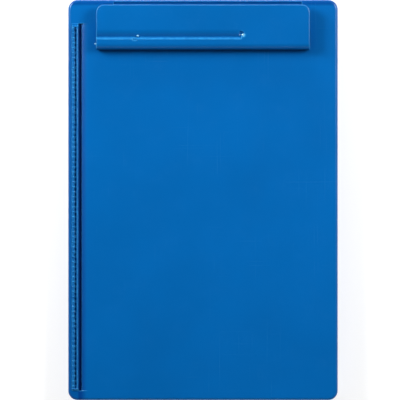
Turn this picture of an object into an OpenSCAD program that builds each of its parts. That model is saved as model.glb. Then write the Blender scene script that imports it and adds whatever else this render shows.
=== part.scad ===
// Storage clipboard box: a shallow document tray closed by a side-hinged writing board,
// which carries a wide, low, sprung clip at its top edge and a swing latch on its right side.
// x runs across the board, y along it towards the clip, and z up from the table.

/* [Case] */
// Width of the writing board
board_w = 240; // [236:1:280]
// Length of the writing board
board_l = 356.5; // [340:0.5:420]
// Height of the writing face above the table
case_h = 25; // [24:0.5:50]
// Plan radius of the board's corners
corner_r = 8.5; // [7.5:0.5:14]
// Radius rolled along the board's top edge
edge_roll = 2.5; // [1:0.1:2.6]
// Thickness of the board's plate
lid_plate = 2.6; // [2.2:0.1:3.2]
// Thickness of the rim that hangs from the board
lid_wall = 1.9; // [1.6:0.1:2.2]
// Depth of the board from its writing face to the lower edge of its rim
lid_depth = 4.8; // [4.8:0.1:6]
// Thickness of the tray's floor
tray_floor = 2.2; // [1.8:0.1:3.5]
// Thickness of the tray's walls
tray_wall = 2.8; // [2.6:0.1:3.4]
// Setback of the tray behind the edge of the board
tray_reveal = 0.6; // [0.3:0.1:1]
// Radius rolled along the tray's lower edge
tray_roll = 3; // [1:0.5:4]
// Radius inside the tray where floor and walls meet
tray_cove = 2; // [1:0.5:3]
// Depth of the hollow panel under the tray's floor
panel_depth = 0.6; // [0.4:0.1:0.8]
// Width of the land that the tray rests on
land_w = 14; // [8:1:30]
// Length of the pen compartment at the clip end of the tray
pen_room = 44; // [30:1:60]
// Height of the wall between the two compartments
divider_h = 13; // [8:0.5:14]
// Thickness of thin walls and ribs
rib_w = 1.6; // [1.2:0.1:2.4]
// Depth of the ribs under the board
board_rib_h = 1.4; // [0.8:0.1:1.6]

/* [Ladder strip and gutter] */
// Distance from the board's left edge to the ladder strip
strip_inset = 3.1; // [2.8:0.1:4]
// Width of the ladder strip
strip_w = 5.9; // [5.6:0.1:7]
// Height of the strip's face above the writing face
strip_rise = 0.5; // [0.3:0.1:1]
// Height of the rail and of the rungs' heads above the strip's face
rung_rise = 0.8; // [0.4:0.05:0.9]
// Width of the rail between the pits and the gutter
rail_w = 1.6; // [1.2:0.1:1.8]
// Depth of the groove that the pits lie in, below the strip's face
groove_depth = 0.6; // [0.3:0.1:0.7]
// Distance from one pit to the next
rung_pitch = 4.43; // [3.6:0.01:6]
// Width of each pit and of the groove
pit_w = 1.9; // [1.4:0.1:2.1]
// Length of each pit
pit_l = 2.6; // [1.4:0.1:2.8]
// Depth of each pit below the rungs
pit_depth = 0.9; // [0.5:0.1:1.1]
// Distance from the board's top edge to the strip
strip_top = 21.1; // [16:0.1:40]
// Distance from the board's bottom edge to the strip
strip_foot = 8.6; // [8:0.1:30]
// Width of the gutter beside the strip
gutter_w = 3; // [1.6:0.1:3.4]
// Depth of the gutter below the writing face
gutter_depth = 3.2; // [2:0.1:3.3]
// Thickness of the gutter's walls
gutter_wall = 1.5; // [1.2:0.1:1.6]
// Width of the hollow ramp from the writing face to the gutter
ramp_w = 6.5; // [3:0.5:10]
// Fall of that ramp
ramp_drop = 1.4; // [0.4:0.1:1.5]

/* [Hinge] */
// Depth of the hinge's axis below the writing face
hinge_down = 8; // [7.8:0.1:9]
// Radius of the hinge pin
hinge_pin_r = 1.25; // [1:0.05:1.5]
// Outer radius of the hinge knuckles
barrel_r = 3.4; // [3:0.1:3.5]
// Number of knuckles, counting both halves
knuckle_count = 11; // [5:2:21]
// Gap between neighbouring knuckles
knuckle_gap = 0.4; // [0.3:0.1:0.8]
// Radial clearance of the pin in the board's knuckles
pin_play = 0.05; // [0.02:0.01:0.1]
// Length of an end cap's stem inside the barrel
cap_stem = 5; // [3:0.5:8]
// Thickness of an end cap's head
cap_head = 1; // [0.6:0.1:1.2]

/* [Clip] */
// Width of the clip
clip_w = 190; // [170:1:196]
// Depth of the clip from its jaw to its rear edge
clip_l = 39.7; // [38:0.1:46]
// Height of the clip's flat top above the writing face
clip_h = 12; // [11.6:0.1:14]
// Distance from the board's top edge to the clip's rear edge
clip_setback = 4.65; // [3:0.05:8]
// Wall thickness of the clip
clip_wall = 2.2; // [1.8:0.1:2.4]
// Plan radius of the clip's rear corners
clip_corner = 7; // [5:0.5:10]
// Radius rolled along the clip's edges
clip_edge = 1; // [0.6:0.1:1.4]
// Radius over which the clip's front rolls down
front_roll = 5.2; // [4:0.1:5.6]
// Height of the clip's front wall above the writing face
jaw_gap = 1; // [0.6:0.1:1.2]
// Height of the clip's rear edge above the writing face
rear_lip_z = 7.5; // [7:0.1:8.5]
// Distance from the clip's rear edge to its pivot
pivot_back = 16.6; // [16:0.1:18]
// Height of the clip's pivot above the writing face
pivot_h = 5.5; // [5.3:0.1:6]
// Radius of the pivot pin
pivot_r = 1.5; // [1.2:0.05:1.7]
// Outer radius of the lugs and ears round the pivot
lug_r = 3.2; // [2.8:0.1:3.4]
// Thickness of the clip's lugs
lug_t = 2.4; // [1.8:0.1:3]
// Distance from each end of the clip to the middle of its bracket
bracket_in = 40; // [36:1:46]
// Half the space between a bracket's ears
ear_half = 12; // [11:0.5:14]
// Thickness of the bracket's sheet
sheet_t = 1.2; // [0.8:0.1:1.4]
// Half the length of a bracket's base
base_half = 9; // [8.8:0.1:9.6]
// Distance of the rivets in front of and behind the pivot
rivet_y = 6; // [5.6:0.1:6.2]
// Radius of a rivet's shank
rivet_r = 1.5; // [1.2:0.1:1.6]
// Radius of a rivet's head
rivet_head_r = 2.6; // [2.2:0.1:2.7]
// Height of a rivet's head
rivet_head_h = 0.9; // [0.6:0.05:0.95]
// Thickness of the rubber pad under the jaw
pad_t = 1.6; // [1.2:0.1:2]
// Depth of the groove in the board that clears the clip's rear edge
well_depth = 1.2; // [0.8:0.1:1.3]
// Distance from the clip's left end to that groove
well_left = 15.6; // [8:0.1:24]
// Distance from the clip's right end to that groove
well_right = 7.1; // [5:0.1:24]

/* [Pen channel] */
// Distance from the clip's front to the edge of the channel's curb
curb_y = 9.1; // [8.8:0.1:10.5]
// Distance from the clip's front to the deepest line of the channel
channel_low_y = 11.7; // [11.2:0.1:13]
// Distance from the clip's front to the start of the channel's ramp
channel_top_y = 17.4; // [16:0.1:18]
// Depth of the channel
channel_depth = 2.1; // [1:0.1:2.2]
// Distance from the clip's left end to the channel's closed end
channel_l = 129; // [100:1:150]
// Distance from the clip's left end to the notch in the curb
notch_in = 34.2; // [20:0.1:60]
// Width of that notch
notch_w = 3.8; // [2:0.1:6]
// Radius of the nubs that stop a pen at the channel's end and beside the notch
nub_r = 1; // [0.6:0.1:1.2]

/* [Latch] */
// Width of the latch
latch_w = 42; // [30:1:60]
// Thickness of the latch's plate
latch_t = 2.1; // [1.8:0.1:2.3]
// Radius of the latch's barrel
latch_barrel_r = 2.1; // [1.9:0.05:2.2]
// Distance from the board's right edge to the latch's pivot
latch_axis_in = 2.9; // [2.8:0.1:3.2]
// Depth of the latch's pivot below the writing face
latch_axis_down = 5; // [4.9:0.1:5.2]
// Length of the latch below its pivot
latch_drop = 14.6; // [13:0.1:15]
// Radius of the latch's pin
latch_pin_r = 1; // [0.8:0.05:1.1]
// Reach of the hook behind the latch's plate
hook_reach = 2.2; // [1.6:0.1:2.4]
// Thickness of the hook and of the catch
hook_t = 2; // [1.6:0.1:2.4]
// Distance from the pivot down to the hook's upper face
hook_down = 10; // [9.5:0.1:10.5]

/* [Springs] */
// Radius of the springs' wire
wire_r = 0.5; // [0.4:0.05:0.55]
// Mean radius of the coils
coil_r = 2.35; // [2.25:0.05:2.4]
// Advance of the coil on each turn
coil_pitch = 1.5; // [1.45:0.05:1.7]
// Number of whole turns in a coil
coil_turns = 8; // [4:1:9]

/* [Fits] */
// Clearance between plastic pieces that move past each other
gap = 0.3; // [0.3:0.05:0.5]
// Clearance between the tongue and the board's rim
lap_gap = 0.35; // [0.3:0.05:0.5]
// Radial clearance of a fixed pin or rivet in its hole
fixed_play = 0.03; // [0.02:0.01:0.06]

/* [Hidden] */
$fn = 48;
blue = "#0660a8";
steel = "#b9bcc0";
rubber = "#2b2d30";
over = 1; // how far a cut runs past the face it opens
bite = 0.4; // how far a rib or web reaches into the wall that carries it

// Board
lid_rim_z = case_h - lid_depth;
plate_z = case_h - lid_plate;
half_w = board_w / 2;
half_l = board_l / 2;

// Hinge along the left side, under the overhang of the board
barrel_in = 0.2; // setback of the barrel behind the board's edge
axis_x = -half_w + barrel_in + barrel_r;
axis_z = case_h - hinge_down;
hinge_y0 = -half_l + strip_foot;
hinge_y1 = half_l - strip_top;
barrel_window = barrel_r + 0.4; // the rim of the board clears the barrel by this radius
knuckle_l = (hinge_y1 - hinge_y0) / knuckle_count;

// Tray
tray_left = axis_x + barrel_window + 0.2;
tray_right = half_w - tray_reveal;
tray_w = tray_right - tray_left;
tray_l = board_l - 2 * tray_reveal;
tray_cx = (tray_left + tray_right) / 2;
tray_corner = corner_r - tray_reveal;
rim_z = lid_rim_z - gap;
tongue_in = lid_wall + lap_gap - tray_reveal;
tongue_top = plate_z - gap;
gutter_under = case_h - gutter_depth - gutter_wall;
left_top = gutter_under - 0.4;
cavity_top_y = tray_l / 2 - tray_wall;
divider_y = cavity_top_y - pen_room;

// Ladder strip and gutter
strip_x = -half_w + strip_inset;
gutter_x = strip_x + strip_w;
strip_l = hinge_y1 - hinge_y0;
face_z = case_h + strip_rise;
rung_top_z = face_z + rung_rise;
head_r = 0.75; // radius of the rungs' heads
head_x = strip_x + 0.4; // outer ends of the rungs' heads
end_bar_r = 0.9; // radius of the bars that close both ends of the ladder
bar_y0 = hinge_y0 + 1.5;
bar_y1 = hinge_y1 - 2.6;
pit_x = gutter_x - rail_w - pit_w;
pit_count = floor((strip_l - 2 * pit_l) / rung_pitch);
pit_y0 = (hinge_y0 + hinge_y1) / 2 - (pit_count - 1) * rung_pitch / 2;

// Latch and catch at the middle of the right side
latch_x = half_w - latch_axis_in;
latch_z = case_h - latch_axis_down;
latch_half = latch_w / 2;
window_half = latch_half + 0.4;
boss_l = 5.6; // length of the bosses that carry the latch's pin
boss_half_t = 2.5; // half the thickness of those bosses
boss_low = latch_z - latch_pin_r - 1; // underside of those bosses
pocket_x = latch_x - hook_reach - 1.1; // inner face of the pocket behind the latch
pocket_floor_z = latch_z - latch_drop - 0.9;
pocket_wall = 2.8;

// Clip, in a frame whose y starts at the clip's front and whose z starts at the writing face
clip_y = half_l - clip_setback - clip_l;
bracket_x = clip_w / 2 - bracket_in;
channel_end = channel_l - clip_w / 2;
notch_x = notch_in - clip_w / 2;
pivot_y = clip_l - pivot_back;
lug_gap = 0.3;
retainer_t = 0.8;
retainer_r = 3.1;
lug_out = ear_half + sheet_t + lug_gap + lug_t;
foot_z = pad_t + gap; // underside of the foot that holds the rubber pad
foot_h = 2.6;
foot_l = 3.6;
well_crest_y = half_l - 1.45; // top of the slope behind the groove at the clip's rear edge
key_w = 1.2; // width of the key on the rubber pad
key_h = 1.3;
pin_half = bracket_x + lug_out + lug_gap + retainer_t + 1;

// Springs
upper_lean = 26; // slope of the leg that lifts the rear of the clip
lower_lean = 42; // slope of the leg that bears on the bracket
ring_step = 45; // angle between rings of the coil
wire_sides = 6;
leg_gap = 0.2; // clearance at the tip of a leg
upper_touch = clip_h - clip_wall - pivot_h - wire_r - leg_gap;
lower_touch = sheet_t + wire_r + leg_gap - pivot_h;
upper_leg = (upper_touch + coil_r * cos(upper_lean)) / sin(upper_lean);
lower_leg = (coil_r * cos(lower_lean) - lower_touch) / sin(lower_lean);
coil_start = 90 - lower_lean;
coil_end = upper_lean - 90 + 360 * coil_turns;
coil_steps = round((coil_end - coil_start) / ring_step);

// ---------------------------------------------------------------- shared forms

// Rounded rectangle, w across and l along, centred
module round_rect(w, l, r) {
  square([w - 2 * r, l], center = true);
  square([w, l - 2 * r], center = true);
  for (sx = [-1, 1], sy = [-1, 1])
    translate([sx * (w / 2 - r), sy * (l / 2 - r)]) circle(r);
}

// Section through the outermost strip of a slab, rolled at its top outer corner
module slab_edge(r, roll, h) {
  square([r, h - roll]);
  square([r - roll, h]);
  translate([r - roll, h - roll]) circle(roll);
}

// Slab with rounded plan corners and a rolled top edge
module soft_slab(w, l, r, roll, h) {
  translate([r - w / 2, r - l / 2, 0]) cube([w - 2 * r, l - 2 * r, h]);
  for (turn = [0:3]) {
    across = turn % 2 == 0 ? w : l;
    along = turn % 2 == 0 ? l : w;
    rotate(90 * turn) translate([across / 2 - r, along / 2 - r, 0]) {
      rotate_extrude(angle = 90) slab_edge(r, roll, h);
      rotate([90, 0, 0]) linear_extrude(along - 2 * r) slab_edge(r, roll, h);
    }
  }
}

// Box given by its two far corners
module span(low, high) {
  translate(low) cube(high - low);
}

// Profile drawn in y and z, carried along x from x0 to x1
module along_x(x0, x1) {
  translate([x0, 0, 0]) rotate([90, 0, 90]) linear_extrude(x1 - x0) children();
}

// Profile drawn in x and z, carried along y from y0 to y1
module along_y(y0, y1) {
  translate([0, y1, 0]) rotate([90, 0, 0]) linear_extrude(y1 - y0) children();
}

// Round bar along y, for pins and bores
module bar_y(x, z, r, y0, y1) {
  translate([x, y1, z]) rotate([90, 0, 0]) cylinder(r = r, h = y1 - y0);
}

// Round bar along x, for pins and bores
module bar_x(y, z, r, x0, x1) {
  translate([x0, y, z]) rotate([0, 90, 0]) cylinder(r = r, h = x1 - x0);
}

// Knuckles of one half of the hinge, each with the web that ties it to its shell
module knuckles(first, web_x0, web_x1, web_z0, web_z1) {
  for (i = [first:2:knuckle_count - 1]) {
    y0 = hinge_y0 + i * knuckle_l + knuckle_gap / 2;
    y1 = y0 + knuckle_l - knuckle_gap;
    bar_y(axis_x, axis_z, barrel_r, y0, y1);
    span([web_x0, y0, web_z0], [web_x1, y1, web_z1]);
  }
}

// ---------------------------------------------------------------- tray

module tray_shell() {
  translate([tray_cx, 0, rim_z]) mirror([0, 0, 1])
    soft_slab(tray_w, tray_l, tray_corner, tray_roll, rim_z);
  translate([tray_cx, 0, rim_z - over]) linear_extrude(tongue_top - rim_z + over)
    round_rect(tray_w - 2 * tongue_in, tray_l - 2 * tongue_in, tray_corner - tongue_in);
}

module tray_cavity() {
  depth = tongue_top + over - tray_floor;
  translate([tray_cx, 0, tongue_top + over]) mirror([0, 0, 1])
    soft_slab(tray_w - 2 * tray_wall, tray_l - 2 * tray_wall, tray_corner - tray_wall, tray_cove, depth);
}

// Walls of the pocket that the latch closes into
module latch_pocket() {
  outer = window_half + pocket_wall;
  span([pocket_x - pocket_wall, -outer, tray_floor - bite], [tray_right - tray_wall + bite, outer, rim_z]);
  span([pocket_x - pocket_wall, -outer, rim_z - over], [pocket_x, outer, tongue_top]);
}

// Ledge inside the pocket that the latch hooks under
module catch() {
  low = latch_z - hook_down + gap;
  along_y(2 - latch_half, latch_half - 2)
    polygon([
      [pocket_x - bite, low], [latch_x - gap, low],
      [latch_x - gap, low + hook_t / 2], [pocket_x - bite, low + hook_t * 1.5]
    ]);
}

module tray() color(blue) {
  difference() {
    union() {
      difference() {
        tray_shell();
        tray_cavity();
      }
      span([tray_left, tray_corner - tray_l / 2, rim_z - over],
           [tray_left + tray_wall, tray_l / 2 - tray_corner, left_top]);
      span([tray_left + tray_wall - bite, divider_y - rib_w, tray_floor - bite],
           [tray_right - tray_wall + bite, divider_y, tray_floor + divider_h]);
      latch_pocket();
      knuckles(0, axis_x, tray_left + bite, axis_z - barrel_r, left_top);
    }
    span([pocket_x, -window_half, pocket_floor_z], [half_w + over, window_half, tongue_top + over]);
    span([pocket_x + gap, -window_half - boss_l - 0.4, boss_low - gap],
         [half_w + over, window_half + boss_l + 0.4, tongue_top + over]);
    span([tray_left - over, -tray_l / 2, left_top],
         [gutter_x + gutter_w + gutter_wall + gap, tray_l / 2, tongue_top + over]);
    bar_y(axis_x, axis_z, hinge_pin_r + fixed_play, hinge_y0 - over, hinge_y1 + over);
    translate([tray_cx, 0, -over]) linear_extrude(panel_depth + over)
      round_rect(tray_w - 2 * land_w, tray_l - 2 * land_w, tray_corner);
  }
  catch();
}

// ---------------------------------------------------------------- writing board

// Gutter's trough under the plate
module gutter_trough() {
  span([gutter_x - gutter_wall, hinge_y0 - gutter_wall, gutter_under],
       [gutter_x + gutter_w + gutter_wall, hinge_y1 + gutter_wall, plate_z + bite]);
}

// Raised strip with a rounded rail on its right and the rounded heads of its rungs on its left
module ladder() {
  span([strip_x, hinge_y0, case_h - bite], [gutter_x, hinge_y1, face_z]);
  span([head_x, bar_y0, case_h], [pit_x, bar_y1, face_z + rung_rise / 2]);
  along_y(bar_y0, bar_y1) {
    translate([gutter_x - rail_w, case_h]) square([rail_w, rung_top_z - rail_w / 2 - case_h]);
    translate([gutter_x - rail_w / 2, rung_top_z - rail_w / 2]) circle(rail_w / 2);
  }
  for (i = [0:pit_count])
    bar_x(pit_y0 + (i - 0.5) * rung_pitch, rung_top_z - head_r, head_r, head_x, pit_x, $fn = 12);
  for (y = [bar_y0, bar_y1])
    bar_x(y, rung_top_z - end_bar_r, end_bar_r, head_x, gutter_x);
}

// Groove between the heads and the rail, with the pits in its floor
module pits() {
  floor_z = face_z - groove_depth;
  span([pit_x, bar_y0, floor_z], [pit_x + pit_w, bar_y1 - end_bar_r, rung_top_z + over]);
  for (i = [0:pit_count - 1])
    translate([pit_x, pit_y0 + i * rung_pitch - pit_l / 2, floor_z - pit_depth])
      cube([pit_w, pit_l, pit_depth + over]);
}

// Hollow ramp that falls from the writing face to the gutter
module ramp() {
  edge = gutter_x + gutter_w;
  hollow = [for (i = [0:6]) [edge + ramp_w * i / 6, case_h - ramp_drop * pow(1 - i / 6, 2)]];
  along_y(hinge_y0, hinge_y1)
    polygon(concat(
      [[edge - over / 2, case_h + over], [edge - over / 2, case_h - ramp_drop]], hollow,
      [[edge + ramp_w, case_h + over]]
    ));
}

// Groove behind the clip, with a slope up to the board's top edge
module rear_well() {
  low = case_h - well_depth;
  along_x(well_left - clip_w / 2, clip_w / 2 - well_right)
    polygon([
      [clip_y + clip_l - 4, low], [well_crest_y - 1.7, low], [well_crest_y, case_h],
      [well_crest_y, case_h + over], [clip_y + clip_l - 4, case_h + over]
    ]);
}

module board_ribs() {
  low = plate_z - board_rib_h;
  left = gutter_x + gutter_w + gutter_wall - bite;
  right = pocket_x - pocket_wall - 3;
  foot = 12 - half_l;
  head = clip_y - 4;
  for (i = [0:5])
    span([left, foot + i * (head - foot) / 5, low],
         [right, foot + i * (head - foot) / 5 + rib_w, plate_z + bite]);
  for (x = [left, (left + right) / 2, right - rib_w])
    span([x, foot, low], [x + rib_w, head + rib_w, plate_z + bite]);
}

// Bosses that carry the latch's pin at both ends of its window
module latch_bosses() {
  for (side = [-1, 1])
    mirror([0, side < 0 ? 1 : 0, 0])
      span([latch_x - boss_half_t, window_half, boss_low],
           [latch_x + boss_half_t, window_half + boss_l, plate_z + bite]);
}

module lid() color(blue)
  difference() {
    union() {
      difference() {
        translate([0, 0, lid_rim_z]) soft_slab(board_w, board_l, corner_r, edge_roll, lid_depth);
        translate([0, 0, lid_rim_z - over]) linear_extrude(plate_z - lid_rim_z + over)
          round_rect(board_w - 2 * lid_wall, board_l - 2 * lid_wall, corner_r - lid_wall);
        span([-half_w - over, hinge_y0 - gap - cap_head - 0.2, lid_rim_z - over],
             [axis_x, hinge_y1 + gap + cap_head + 0.2, axis_z + barrel_window]);
        span([latch_x - boss_half_t, -window_half, lid_rim_z - over], [half_w + over, window_half, plate_z]);
      }
      gutter_trough();
      ladder();
      board_ribs();
      latch_bosses();
      knuckles(1, axis_x - 2, axis_x + 2.4, axis_z + 0.5, plate_z + bite);
    }
    span([gutter_x, hinge_y0, case_h - gutter_depth], [gutter_x + gutter_w, hinge_y1, case_h + over]);
    ramp();
    pits();
    rear_well();
    bar_y(axis_x, axis_z, hinge_pin_r + pin_play, hinge_y0, hinge_y1);
    bar_y(latch_x, latch_z, latch_pin_r + fixed_play, -window_half - boss_l + 1, window_half + boss_l - 1);
    for (sx = [-1, 1], sy = [-1, 1])
      translate([sx * bracket_x, clip_y + pivot_y + sy * rivet_y, plate_z - over])
        cylinder(r = rivet_r + fixed_play, h = lid_plate + 2 * over);
  }

// ---------------------------------------------------------------- hinge pin and caps

module hinge_pin() color(steel)
  bar_y(axis_x, axis_z, hinge_pin_r, hinge_y0 + cap_stem + 0.2, hinge_y1 - cap_stem - 0.2);

// Cap that closes one end of the barrel: side is 1 for the clip end and -1 for the foot
module hinge_cap(side) color(blue) {
  face = side > 0 ? hinge_y1 - knuckle_gap / 2 : -hinge_y0 - knuckle_gap / 2;
  mirror([0, side < 0 ? 1 : 0, 0]) {
    bar_y(axis_x, axis_z, hinge_pin_r, face - cap_stem, face + cap_head / 2);
    bar_y(axis_x, axis_z, barrel_r - 0.3, face, face + cap_head);
  }
}

module hinge_cap_top() hinge_cap(1);

module hinge_cap_bottom() hinge_cap(-1);

// ---------------------------------------------------------------- latch

module latch() color(blue)
  difference() {
    union() {
      bar_y(latch_x, latch_z, latch_barrel_r, -latch_half, latch_half);
      translate([latch_x, 0, latch_z]) along_y(-latch_half, latch_half)
        polygon([
          [0, 0], [latch_t, 0], [latch_t, 3 - latch_drop], [latch_t + 0.6, 1.2 - latch_drop],
          [latch_t + 0.6, -latch_drop], [0, -latch_drop]
        ]);
      translate([latch_x, 0, latch_z]) along_y(3 - latch_half, latch_half - 3)
        polygon([
          [bite, -hook_down], [-hook_reach, -hook_down],
          [-hook_reach, -hook_down - hook_t / 2], [0, -hook_down - hook_t * 1.5], [bite, -hook_down - hook_t]
        ]);
    }
    bar_y(latch_x, latch_z, latch_pin_r + pin_play, -latch_half - over, latch_half + over);
    // grip grooves across the thumb area
    for (i = [0:3])
      bar_y(latch_x + latch_t + 0.5, latch_z - latch_drop / 2 - i * 1.6, 0.8, 6 - latch_half, latch_half - 6);
  }

module latch_pin() color(steel)
  bar_y(latch_x, latch_z, latch_pin_r, -window_half - boss_l + 1.2, window_half + boss_l - 1.2);

// ---------------------------------------------------------------- clip

// Silhouette of the clip seen from its end
module clip_side() {
  difference() {
    union() {
      translate([0, jaw_gap]) square([clip_l, clip_h - front_roll - jaw_gap]);
      translate([front_roll, jaw_gap]) square([clip_l - front_roll, clip_h - jaw_gap]);
      translate([front_roll, clip_h - front_roll]) circle(front_roll);
    }
    polygon([
      [pivot_y - 1, 0], [pivot_y - 1, jaw_gap], [pivot_y + 13, rear_lip_z],
      [clip_l + over, rear_lip_z], [clip_l + over, 0]
    ]);
  }
}

// Hollow of the clip seen from its end
module clip_hollow_side() {
  r = front_roll - clip_wall;
  translate([clip_wall, 0]) square([clip_l - 2 * clip_wall, clip_h - front_roll]);
  translate([front_roll, 0]) square([clip_l - clip_wall - front_roll, clip_h - clip_wall]);
  translate([front_roll, clip_h - front_roll]) circle(r);
}

module clip_shell() {
  difference() {
    intersection() {
      translate([0, clip_l / 2 - clip_corner, 0])
        soft_slab(clip_w, clip_l + 2 * clip_corner, clip_corner, clip_edge, clip_h);
      along_x(-clip_w / 2 - over, clip_w / 2 + over) clip_side();
    }
    intersection() {
      translate([0, clip_l / 2 - clip_corner, 0]) linear_extrude(clip_h)
        round_rect(clip_w - 2 * clip_wall, clip_l + 2 * (clip_corner - clip_wall), clip_corner - clip_wall);
      along_x(-clip_w / 2, clip_w / 2) clip_hollow_side();
    }
  }
}

// Section of the pen channel: a ramp that steepens towards the curb
module channel_section() {
  ramp_points = [
    for (i = [0:6]) let (t = i / 6)
      [channel_top_y + t * (channel_low_y - channel_top_y), clip_h - channel_depth * pow(t, 1.7)]
  ];
  polygon(concat(
    [[channel_top_y, clip_h + over]], ramp_points,
    [
      [channel_low_y - 0.7, clip_h - channel_depth], [curb_y + 0.35, clip_h - 0.5],
      [curb_y, clip_h], [curb_y, clip_h + over]
    ]
  ));
}

module channel_cut() {
  dish_r = 3;
  along_x(-clip_w / 2 - over, channel_end) channel_section();
  translate([channel_end, (channel_low_y + channel_top_y) / 2 - 1, clip_h + dish_r - channel_depth])
    sphere(r = dish_r);
  span([notch_x - notch_w / 2, curb_y - 1.2, clip_h - 1.3],
       [notch_x + notch_w / 2, channel_low_y, clip_h + over]);
}

// Nubs on the floor of the channel
module channel_nubs() {
  for (at = [[notch_x + notch_w / 2 + nub_r, channel_low_y + 0.3], [channel_end + 2, channel_low_y + 1]])
    translate([at[0], at[1], clip_h - channel_depth + 0.3]) sphere(r = nub_r, $fn = 24);
}

// Thickening under the pen channel
module channel_bed() {
  depth = channel_depth + clip_wall;
  along_x(-clip_w / 2 + clip_wall / 2, channel_end + 5)
    polygon([
      [channel_top_y + 1.5, clip_h - clip_wall + bite], [channel_top_y, clip_h - clip_wall - 0.4],
      [channel_low_y + 1.5, clip_h - depth + 0.1], [channel_low_y - 1.5, clip_h - depth + 0.1],
      [curb_y - 1.5, clip_h - clip_wall + bite]
    ]);
}

// Lug that hangs from the clip's plate and turns on the pivot pin
module lug_side() {
  translate([pivot_y, pivot_h]) circle(lug_r);
  translate([pivot_y - lug_r, pivot_h]) square([2 * lug_r, clip_h - clip_wall + bite - pivot_h]);
}

module clip_lugs() {
  for (sx = [-1, 1], inner = [sx * bracket_x - lug_out, sx * bracket_x + lug_out - lug_t])
    along_x(inner, inner + lug_t) lug_side();
}

module clip_ribs() {
  low = clip_h - clip_wall - 2.2;
  for (x = [-bracket_x - lug_out - 8, -bracket_x + lug_out + 6, 0, bracket_x - lug_out - 6, bracket_x + lug_out + 8])
    span([x - rib_w / 2, clip_wall - bite, low], [x + rib_w / 2, clip_l - clip_wall + bite, clip_h - clip_wall + bite]);
}

// Foot behind the front wall that holds the rubber pad
module jaw_foot() {
  difference() {
    span([bite - clip_w / 2, clip_wall - bite, foot_z],
         [clip_w / 2 - bite, clip_wall + foot_l, foot_z + foot_h]);
    span([clip_wall - clip_w / 2, clip_wall + foot_l / 2 - key_w / 2 - 0.05, foot_z - over],
         [clip_w / 2 - clip_wall, clip_wall + foot_l / 2 + key_w / 2 + 0.05, foot_z + key_h + 0.1]);
  }
}

module clip_lever() color(blue)
  translate([0, clip_y, case_h]) {
    channel_nubs();
    difference() {
      union() {
        clip_shell();
        channel_bed();
        clip_lugs();
        clip_ribs();
        jaw_foot();
      }
      channel_cut();
      bar_x(pivot_y, pivot_h, pivot_r + pin_play, -bracket_x - lug_out - over, bracket_x + lug_out + over);
      // hole in the right skirt through which the pivot pin goes in
      bar_x(pivot_y, pivot_h, pivot_r + 0.5, clip_w / 2 - clip_wall - over, clip_w / 2 + over);
    }
  }

module jaw_pad() color(rubber)
  translate([0, clip_y, case_h]) {
    half = clip_w / 2 - clip_wall - gap;
    mid = clip_wall + foot_l / 2;
    span([-half, clip_wall + 0.1, gap], [half, clip_wall + foot_l - 0.1, foot_z]);
    span([-half, mid - key_w / 2, foot_z - bite], [half, mid + key_w / 2, foot_z + key_h]);
  }

// ---------------------------------------------------------------- clip carrier

module clip_pivot_pin() color(steel)
  translate([0, clip_y, case_h]) bar_x(pivot_y, pivot_h, pivot_r, -pin_half, pin_half);

module pivot_retainer(side) color(steel)
  translate([0, clip_y, case_h]) {
    inner = bracket_x + lug_out + lug_gap;
    mirror([side < 0 ? 1 : 0, 0, 0]) difference() {
      bar_x(pivot_y, pivot_h, retainer_r, inner, inner + retainer_t);
      bar_x(pivot_y, pivot_h, pivot_r + fixed_play, inner - over, inner + retainer_t + over);
    }
  }

module pivot_retainer_left() pivot_retainer(-1);

module pivot_retainer_right() pivot_retainer(1);

// One ear of a bracket, seen from the end of the clip
module ear_side() {
  translate([pivot_y, pivot_h]) circle(lug_r);
  polygon([
    [pivot_y - base_half + 2, 0], [pivot_y + base_half - 2, 0],
    [pivot_y + base_half - 2, sheet_t], [pivot_y + lug_r - 0.15, pivot_h + 0.9],
    [pivot_y - lug_r + 0.15, pivot_h + 0.9], [pivot_y - base_half + 2, sheet_t]
  ]);
}

module clip_bracket(side) color(steel)
  translate([side * bracket_x, clip_y, case_h])
    difference() {
      union() {
        span([-ear_half - sheet_t, pivot_y - base_half, 0], [ear_half + sheet_t, pivot_y + base_half, sheet_t]);
        for (x = [-ear_half - sheet_t, ear_half])
          along_x(x, x + sheet_t) ear_side();
      }
      bar_x(pivot_y, pivot_h, pivot_r + fixed_play, -ear_half - sheet_t - over, ear_half + sheet_t + over);
      for (sy = [-1, 1])
        translate([0, pivot_y + sy * rivet_y, -over]) cylinder(r = rivet_r + fixed_play, h = sheet_t + 2 * over);
    }

module clip_bracket_left() clip_bracket(-1);

module clip_bracket_right() clip_bracket(1);

// Rivet with a domed head on the bracket and a flat tail under the board
module rivet(sx, sy) color(steel)
  translate([sx * bracket_x, clip_y + pivot_y + sy * rivet_y, case_h]) {
    dome_r = (pow(rivet_head_r, 2) + pow(rivet_head_h, 2)) / (2 * rivet_head_h);
    tail_t = 0.8;
    intersection() {
      translate([0, 0, sheet_t + rivet_head_h - dome_r]) sphere(r = dome_r);
      translate([0, 0, sheet_t]) cylinder(r = rivet_head_r + over, h = rivet_head_h + over);
    }
    translate([0, 0, -lid_plate - tail_t]) cylinder(r = rivet_r, h = lid_plate + tail_t + sheet_t + bite);
    translate([0, 0, -lid_plate - tail_t]) cylinder(r = rivet_head_r - 0.2, h = tail_t);
  }

module rivet_left_front() rivet(-1, -1);

module rivet_left_rear() rivet(-1, 1);

module rivet_right_front() rivet(1, -1);

module rivet_right_rear() rivet(1, 1);

// ---------------------------------------------------------------- springs

// Centre line of a torsion spring about the x axis, from the tip of its lower leg to that of its upper leg
function coil_point(a, start, pitch) = [pitch * (a - start) / 360, coil_r * cos(a), coil_r * sin(a)];

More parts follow.
